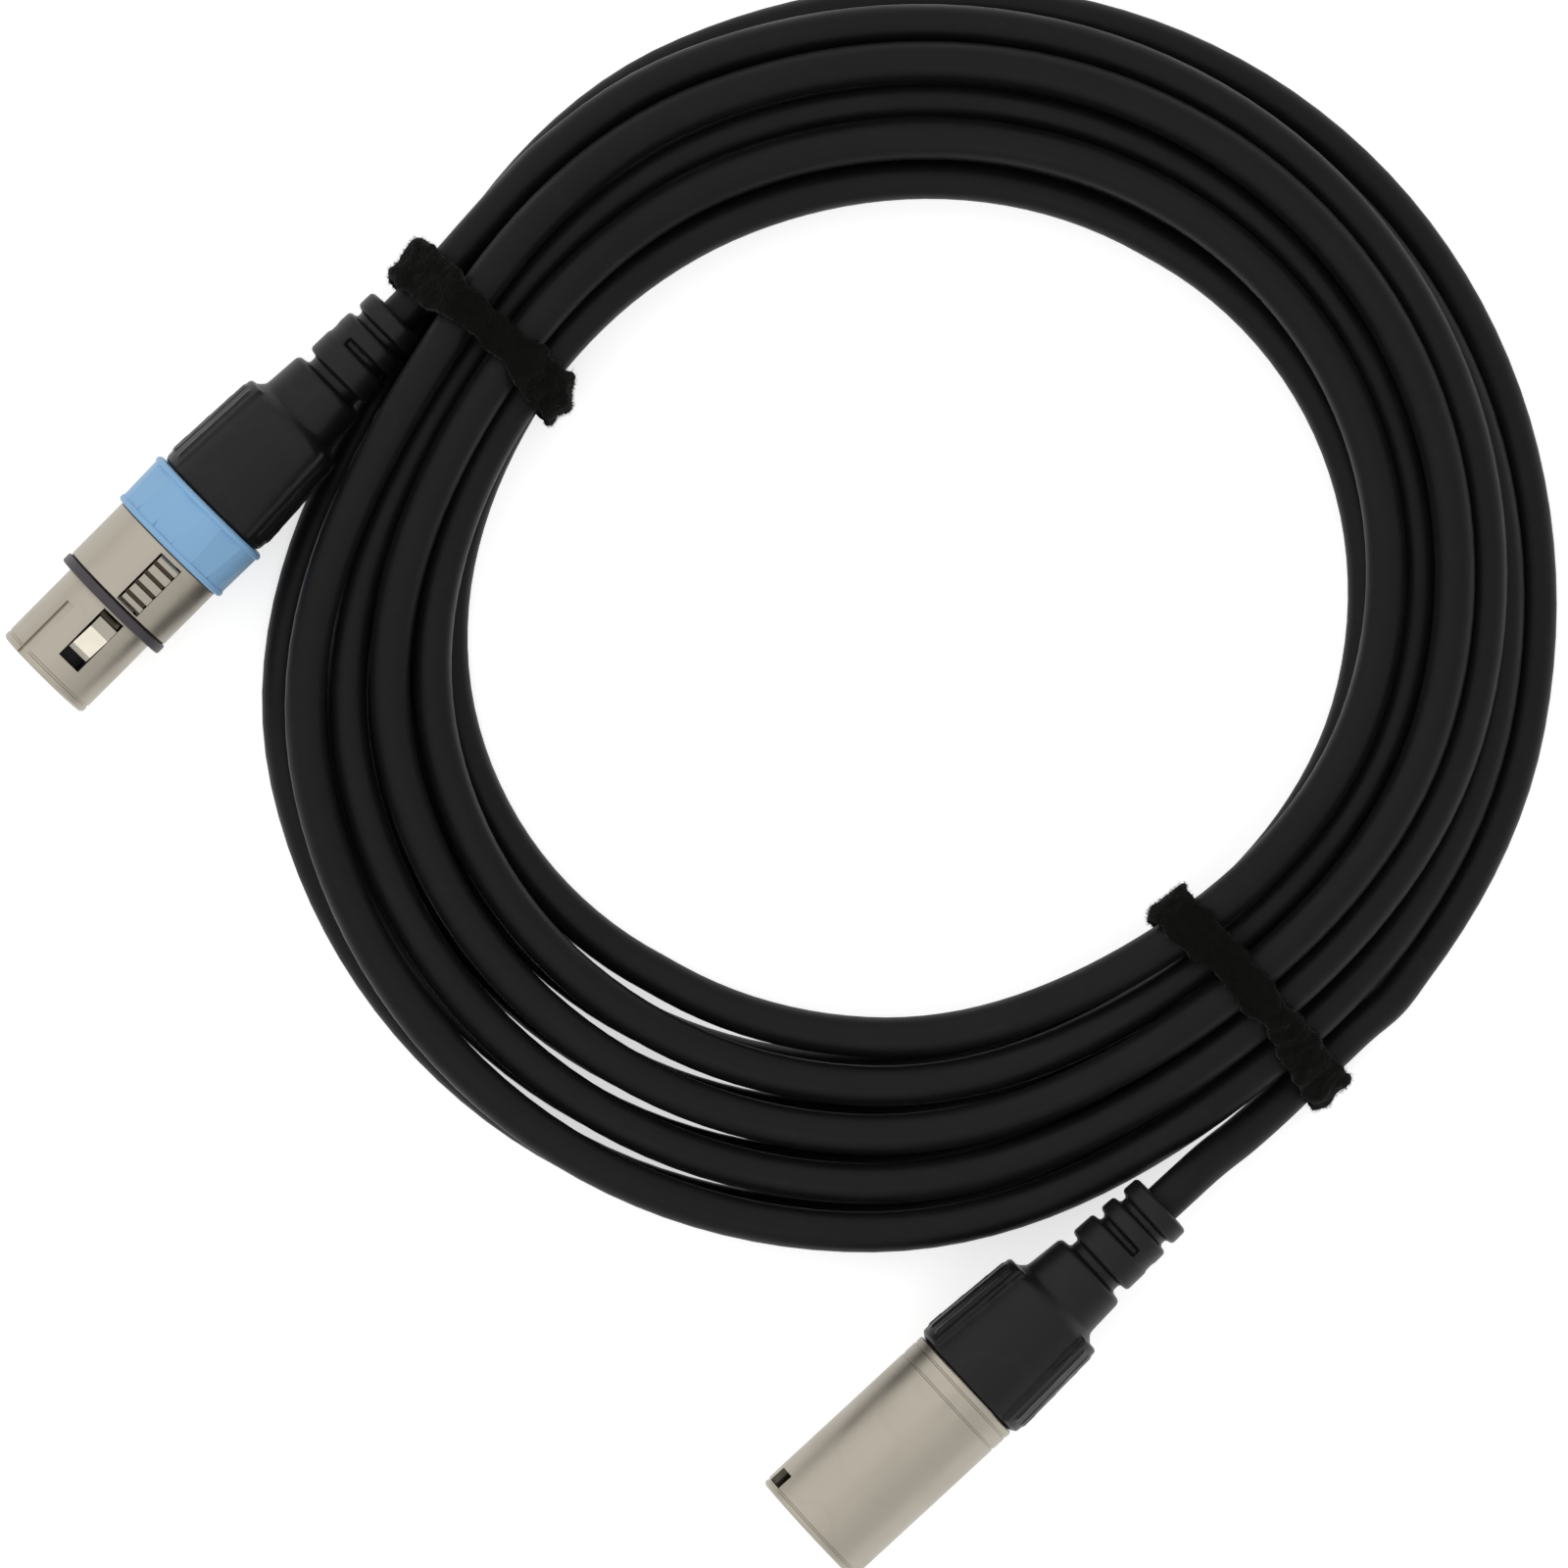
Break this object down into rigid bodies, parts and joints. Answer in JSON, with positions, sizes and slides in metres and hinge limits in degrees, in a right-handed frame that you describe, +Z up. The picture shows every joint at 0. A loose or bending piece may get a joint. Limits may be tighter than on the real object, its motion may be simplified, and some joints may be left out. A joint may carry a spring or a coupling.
{
  "type": "xlr cable coil",
  "caption": "Balanced microphone cable wound in a flat round coil, held by hook-and-loop ties, with a female and a male XLR connector.",
  "frame": {"origin": "middle of the coil's eye, on the surface that the coil lies on", "axes": "+Z up, out of the surface; +X along both connectors, from their mating tips towards the cable; +Y from the male connector towards the female one"},
  "size_m": [0.1987, 0.1874, 0.0262],
  "materials": {
    "jacket": "matt, smooth",
    "nickel": "satin plated, fine grain",
    "dark_ring": "satin dark grey",
    "blue_ring": "satin light blue",
    "insulator": "matt black",
    "gold_contact": "smooth plated",
    "silver_pin": "smooth plated",
    "spring_steel": "smooth",
    "clamp_plastic": "matt",
    "boot_plastic": "matt, fine grain",
    "screen_lead": "twisted bare wire",
    "red_lead": "smooth",
    "white_lead": "smooth",
    "tie_fabric": "fuzzy loop pile"
  },
  "bodies": {
    "root": {"cable_coil": "jacket", "female_tail": "jacket", "male_tail": "jacket", "female_cable_end": "jacket", "male_cable_end": "jacket", "female_housing": "nickel", "flange_ring": "dark_ring", "coding_ring": "blue_ring", "female_insert": "insulator", "female_contact_1": "gold_contact", "female_contact_2": "gold_contact", "female_contact_3": "gold_contact", "latch_pin": "spring_steel", "latch_spring": "spring_steel", "female_chuck": "clamp_plastic", "female_boot": "boot_plastic", "female_lead_1": "screen_lead", "female_lead_2": "red_lead", "female_lead_3": "white_lead", "male_shell": "nickel", "male_insert": "insulator", "male_pin_1": "silver_pin", "male_pin_2": "silver_pin", "male_pin_3": "silver_pin", "ground_spring": "spring_steel", "male_chuck": "clamp_plastic", "male_boot": "boot_plastic", "male_lead_1": "screen_lead", "male_lead_2": "red_lead", "male_lead_3": "white_lead", "upper_tie": "tie_fabric", "lower_tie": "tie_fabric"},
    "latch": {"latch_lever": "spring_steel", "push_button": "nickel"}
  },
  "joints": [
    {"name": "latch_press", "type": "hinge", "parent": "root", "child": "latch", "pos_m": [-0.06338, 0.08018, 0.01681], "axis": [0.0256, -0.9753, -0.2193], "range_deg": [0, 3.4], "stiffness_Nm_per_rad": 0.3, "springref_deg": -4.98, "deforming": ["latch_spring"]}
  ]
}
